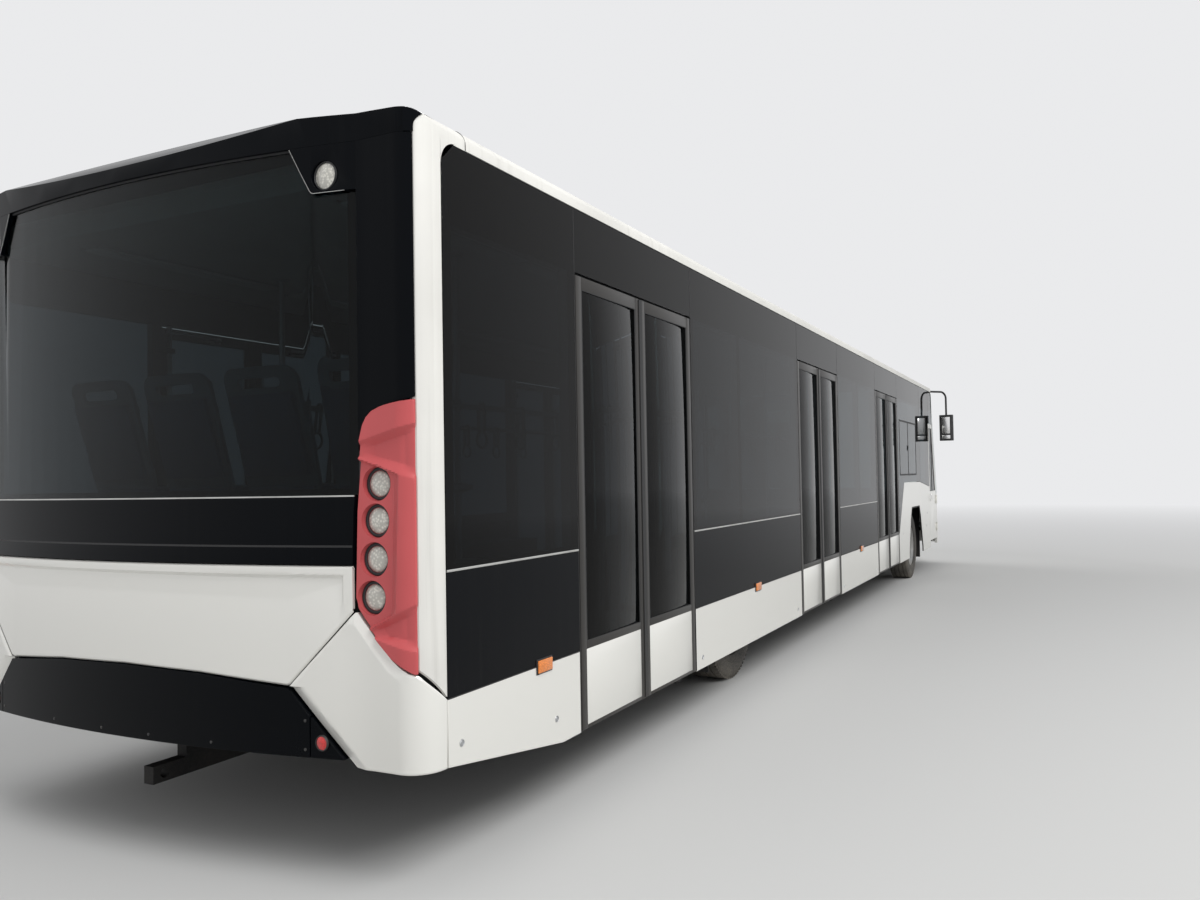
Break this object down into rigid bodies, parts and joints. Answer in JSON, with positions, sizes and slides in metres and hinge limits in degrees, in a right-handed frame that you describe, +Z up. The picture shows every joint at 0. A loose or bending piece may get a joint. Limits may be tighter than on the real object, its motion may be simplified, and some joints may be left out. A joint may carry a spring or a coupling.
{
  "type": "airport passenger bus",
  "caption": "Low floored apron bus with wide double doors on both sides, dark glazing, a white skirt and a lamp column at each rear corner.",
  "frame": {"origin": "on the ground under the middle of the bus", "axes": "+X towards the front of the bus, +Y towards its left side, +Z up"},
  "size_m": [13.8, 3.62, 3],
  "materials": {
    "frame_paint": "satin",
    "white_paint": "gloss",
    "black_panel": "gloss",
    "dark_glass": "gloss",
    "red_plastic": "satin",
    "axle_iron": "rough",
    "floor_plastic": "matte",
    "seat_plastic": "satin",
    "cab_plastic": "matte",
    "pole_steel": "satin",
    "lamp_plastic": "gloss",
    "tyre": "matte",
    "rim_steel": "satin",
    "leaf_paint": "satin",
    "arm_steel": "satin"
  },
  "bodies": {
    "bus": {"chassis": "frame_paint", "body_frame": "frame_paint", "skirt_panels": "white_paint", "lower_panels": "black_panel", "side_glazing": "dark_glass", "roof": "white_paint", "rear_cap": "black_panel", "rear_bumper": "white_paint", "rear_panels": "black_panel", "rear_window": "dark_glass", "tail_lamps": "red_plastic", "front_bumper": "white_paint", "windscreen": "dark_glass", "front_axle": "axle_iron", "rear_axle": "axle_iron", "engine": "axle_iron", "podium": "floor_plastic", "seats": "seat_plastic", "cab_fittings": "cab_plastic", "grab_poles": "pole_steel", "wipers": "cab_plastic", "lamps": "lamp_plastic", "mirrors": "cab_plastic"},
    "knuckle_left": {"knuckle_left": "axle_iron"},
    "wheel_front_left": {"tyre_front_left": "tyre", "rim_front_left": "rim_steel"},
    "wheel_rear_left": {"tyre_rear_left": "tyre", "rim_rear_left": "rim_steel"},
    "cab_door_left": {"cab_door_left": "white_paint"},
    "knuckle_right": {"knuckle_right": "axle_iron"},
    "wheel_front_right": {"tyre_front_right": "tyre", "rim_front_right": "rim_steel"},
    "wheel_rear_right": {"tyre_rear_right": "tyre", "rim_rear_right": "rim_steel"},
    "cab_door_right": {"cab_door_right": "white_paint"},
    "arm_right_1_aft": {"arm_right_1_aft": "arm_steel"},
    "leaf_right_1_aft": {"leaf_right_1_aft": "leaf_paint"},
    "arm_right_1_fore": {"arm_right_1_fore": "arm_steel"},
    "leaf_right_1_fore": {"leaf_right_1_fore": "leaf_paint"},
    "arm_right_2_aft": {"arm_right_2_aft": "arm_steel"},
    "leaf_right_2_aft": {"leaf_right_2_aft": "leaf_paint"},
    "arm_right_2_fore": {"arm_right_2_fore": "arm_steel"},
    "leaf_right_2_fore": {"leaf_right_2_fore": "leaf_paint"},
    "arm_right_3_aft": {"arm_right_3_aft": "arm_steel"},
    "leaf_right_3_aft": {"leaf_right_3_aft": "leaf_paint"},
    "arm_right_3_fore": {"arm_right_3_fore": "arm_steel"},
    "leaf_right_3_fore": {"leaf_right_3_fore": "leaf_paint"},
    "arm_left_1_aft": {"arm_left_1_aft": "arm_steel"},
    "leaf_left_1_aft": {"leaf_left_1_aft": "leaf_paint"},
    "arm_left_1_fore": {"arm_left_1_fore": "arm_steel"},
    "leaf_left_1_fore": {"leaf_left_1_fore": "leaf_paint"},
    "arm_left_2_aft": {"arm_left_2_aft": "arm_steel"},
    "leaf_left_2_aft": {"leaf_left_2_aft": "leaf_paint"},
    "arm_left_2_fore": {"arm_left_2_fore": "arm_steel"},
    "leaf_left_2_fore": {"leaf_left_2_fore": "leaf_paint"},
    "arm_left_3_aft": {"arm_left_3_aft": "arm_steel"},
    "leaf_left_3_aft": {"leaf_left_3_aft": "leaf_paint"},
    "arm_left_3_fore": {"arm_left_3_fore": "arm_steel"},
    "leaf_left_3_fore": {"leaf_left_3_fore": "leaf_paint"}
  },
  "joints": [
    {"name": "steer_left", "type": "hinge", "parent": "bus", "child": "knuckle_left", "pos_m": [4.23, 1.065, 0.478], "axis": [0, 0, 1], "range_deg": [-35, 35]},
    {"name": "spin_front_left", "type": "hinge", "parent": "knuckle_left", "child": "wheel_front_left", "pos_m": [4.23, 1.29, 0.478], "axis": [0, 1, 0], "continuous": true},
    {"name": "spin_rear_left", "type": "hinge", "parent": "bus", "child": "wheel_rear_left", "pos_m": [-2.87, 1.112, 0.478], "axis": [0, 1, 0], "continuous": true},
    {"name": "cab_door_left_hinge", "type": "hinge", "parent": "bus", "child": "cab_door_left", "pos_m": [6.286, 1.514, 0.9], "axis": [0, 0, -1], "range_deg": [0, 75]},
    {"name": "steer_right", "type": "hinge", "parent": "bus", "child": "knuckle_right", "pos_m": [4.23, -1.065, 0.478], "axis": [0, 0, 1], "range_deg": [-35, 35]},
    {"name": "spin_front_right", "type": "hinge", "parent": "knuckle_right", "child": "wheel_front_right", "pos_m": [4.23, -1.29, 0.478], "axis": [0, 1, 0], "continuous": true},
    {"name": "spin_rear_right", "type": "hinge", "parent": "bus", "child": "wheel_rear_right", "pos_m": [-2.87, -1.112, 0.478], "axis": [0, 1, 0], "continuous": true},
    {"name": "cab_door_right_hinge", "type": "hinge", "parent": "bus", "child": "cab_door_right", "pos_m": [6.286, -1.514, 0.9], "axis": [0, 0, 1], "range_deg": [0, 75]},
    {"name": "doorway_right_1", "type": "hinge", "parent": "bus", "child": "arm_right_1_aft", "pos_m": [-5.605, -1.438, 0.9], "axis": [0, 0, -1], "range_deg": [0, 153]},
    {"name": "leaf_right_1_aft_turn", "type": "hinge", "parent": "arm_right_1_aft", "child": "leaf_right_1_aft", "pos_m": [-5.245, -1.438, 0.9], "axis": [0, 0, 1], "range_deg": [0, 153]},
    {"name": "arm_right_1_fore_turn", "type": "hinge", "parent": "bus", "child": "arm_right_1_fore", "pos_m": [-4.275, -1.438, 0.9], "axis": [0, 0, 1], "range_deg": [0, 153]},
    {"name": "leaf_right_1_fore_turn", "type": "hinge", "parent": "arm_right_1_fore", "child": "leaf_right_1_fore", "pos_m": [-4.635, -1.438, 0.9], "axis": [0, 0, -1], "range_deg": [0, 153]},
    {"name": "doorway_right_2", "type": "hinge", "parent": "bus", "child": "arm_right_2_aft", "pos_m": [-1.803, -1.438, 0.9], "axis": [0, 0, -1], "range_deg": [0, 153]},
    {"name": "leaf_right_2_aft_turn", "type": "hinge", "parent": "arm_right_2_aft", "child": "leaf_right_2_aft", "pos_m": [-1.443, -1.438, 0.9], "axis": [0, 0, 1], "range_deg": [0, 153]},
    {"name": "arm_right_2_fore_turn", "type": "hinge", "parent": "bus", "child": "arm_right_2_fore", "pos_m": [-0.473, -1.438, 0.9], "axis": [0, 0, 1], "range_deg": [0, 153]},
    {"name": "leaf_right_2_fore_turn", "type": "hinge", "parent": "arm_right_2_fore", "child": "leaf_right_2_fore", "pos_m": [-0.833, -1.438, 0.9], "axis": [0, 0, -1], "range_deg": [0, 153]},
    {"name": "doorway_right_3", "type": "hinge", "parent": "bus", "child": "arm_right_3_aft", "pos_m": [1.485, -1.438, 0.9], "axis": [0, 0, -1], "range_deg": [0, 153]},
    {"name": "leaf_right_3_aft_turn", "type": "hinge", "parent": "arm_right_3_aft", "child": "leaf_right_3_aft", "pos_m": [1.845, -1.438, 0.9], "axis": [0, 0, 1], "range_deg": [0, 153]},
    {"name": "arm_right_3_fore_turn", "type": "hinge", "parent": "bus", "child": "arm_right_3_fore", "pos_m": [2.815, -1.438, 0.9], "axis": [0, 0, 1], "range_deg": [0, 153]},
    {"name": "leaf_right_3_fore_turn", "type": "hinge", "parent": "arm_right_3_fore", "child": "leaf_right_3_fore", "pos_m": [2.455, -1.438, 0.9], "axis": [0, 0, -1], "range_deg": [0, 153]},
    {"name": "doorway_left_1", "type": "hinge", "parent": "bus", "child": "arm_left_1_aft", "pos_m": [-5.605, 1.438, 0.9], "axis": [0, 0, 1], "range_deg": [0, 153]},
    {"name": "leaf_left_1_aft_turn", "type": "hinge", "parent": "arm_left_1_aft", "child": "leaf_left_1_aft", "pos_m": [-5.245, 1.438, 0.9], "axis": [0, 0, -1], "range_deg": [0, 153]},
    {"name": "arm_left_1_fore_turn", "type": "hinge", "parent": "bus", "child": "arm_left_1_fore", "pos_m": [-4.275, 1.438, 0.9], "axis": [0, 0, -1], "range_deg": [0, 153]},
    {"name": "leaf_left_1_fore_turn", "type": "hinge", "parent": "arm_left_1_fore", "child": "leaf_left_1_fore", "pos_m": [-4.635, 1.438, 0.9], "axis": [0, 0, 1], "range_deg": [0, 153]},
    {"name": "doorway_left_2", "type": "hinge", "parent": "bus", "child": "arm_left_2_aft", "pos_m": [-1.803, 1.438, 0.9], "axis": [0, 0, 1], "range_deg": [0, 153]},
    {"name": "leaf_left_2_aft_turn", "type": "hinge", "parent": "arm_left_2_aft", "child": "leaf_left_2_aft", "pos_m": [-1.443, 1.438, 0.9], "axis": [0, 0, -1], "range_deg": [0, 153]},
    {"name": "arm_left_2_fore_turn", "type": "hinge", "parent": "bus", "child": "arm_left_2_fore", "pos_m": [-0.473, 1.438, 0.9], "axis": [0, 0, -1], "range_deg": [0, 153]},
    {"name": "leaf_left_2_fore_turn", "type": "hinge", "parent": "arm_left_2_fore", "child": "leaf_left_2_fore", "pos_m": [-0.833, 1.438, 0.9], "axis": [0, 0, 1], "range_deg": [0, 153]},
    {"name": "doorway_left_3", "type": "hinge", "parent": "bus", "child": "arm_left_3_aft", "pos_m": [1.485, 1.438, 0.9], "axis": [0, 0, 1], "range_deg": [0, 153]},
    {"name": "leaf_left_3_aft_turn", "type": "hinge", "parent": "arm_left_3_aft", "child": "leaf_left_3_aft", "pos_m": [1.845, 1.438, 0.9], "axis": [0, 0, -1], "range_deg": [0, 153]},
    {"name": "arm_left_3_fore_turn", "type": "hinge", "parent": "bus", "child": "arm_left_3_fore", "pos_m": [2.815, 1.438, 0.9], "axis": [0, 0, -1], "range_deg": [0, 153]},
    {"name": "leaf_left_3_fore_turn", "type": "hinge", "parent": "arm_left_3_fore", "child": "leaf_left_3_fore", "pos_m": [2.455, 1.438, 0.9], "axis": [0, 0, 1], "range_deg": [0, 153]}
  ],
  "couplings": [
    {"joint": "steer_right", "follows": "steer_left", "ratio": 1},
    {"joint": "leaf_right_1_aft_turn", "follows": "doorway_right_1", "ratio": 1},
    {"joint": "arm_right_1_fore_turn", "follows": "doorway_right_1", "ratio": 1},
    {"joint": "leaf_right_1_fore_turn", "follows": "doorway_right_1", "ratio": 1},
    {"joint": "leaf_right_2_aft_turn", "follows": "doorway_right_2", "ratio": 1},
    {"joint": "arm_right_2_fore_turn", "follows": "doorway_right_2", "ratio": 1},
    {"joint": "leaf_right_2_fore_turn", "follows": "doorway_right_2", "ratio": 1},
    {"joint": "leaf_right_3_aft_turn", "follows": "doorway_right_3", "ratio": 1},
    {"joint": "arm_right_3_fore_turn", "follows": "doorway_right_3", "ratio": 1},
    {"joint": "leaf_right_3_fore_turn", "follows": "doorway_right_3", "ratio": 1},
    {"joint": "leaf_left_1_aft_turn", "follows": "doorway_left_1", "ratio": 1},
    {"joint": "arm_left_1_fore_turn", "follows": "doorway_left_1", "ratio": 1},
    {"joint": "leaf_left_1_fore_turn", "follows": "doorway_left_1", "ratio": 1},
    {"joint": "leaf_left_2_aft_turn", "follows": "doorway_left_2", "ratio": 1},
    {"joint": "arm_left_2_fore_turn", "follows": "doorway_left_2", "ratio": 1},
    {"joint": "leaf_left_2_fore_turn", "follows": "doorway_left_2", "ratio": 1},
    {"joint": "leaf_left_3_aft_turn", "follows": "doorway_left_3", "ratio": 1},
    {"joint": "arm_left_3_fore_turn", "follows": "doorway_left_3", "ratio": 1},
    {"joint": "leaf_left_3_fore_turn", "follows": "doorway_left_3", "ratio": 1}
  ]
}
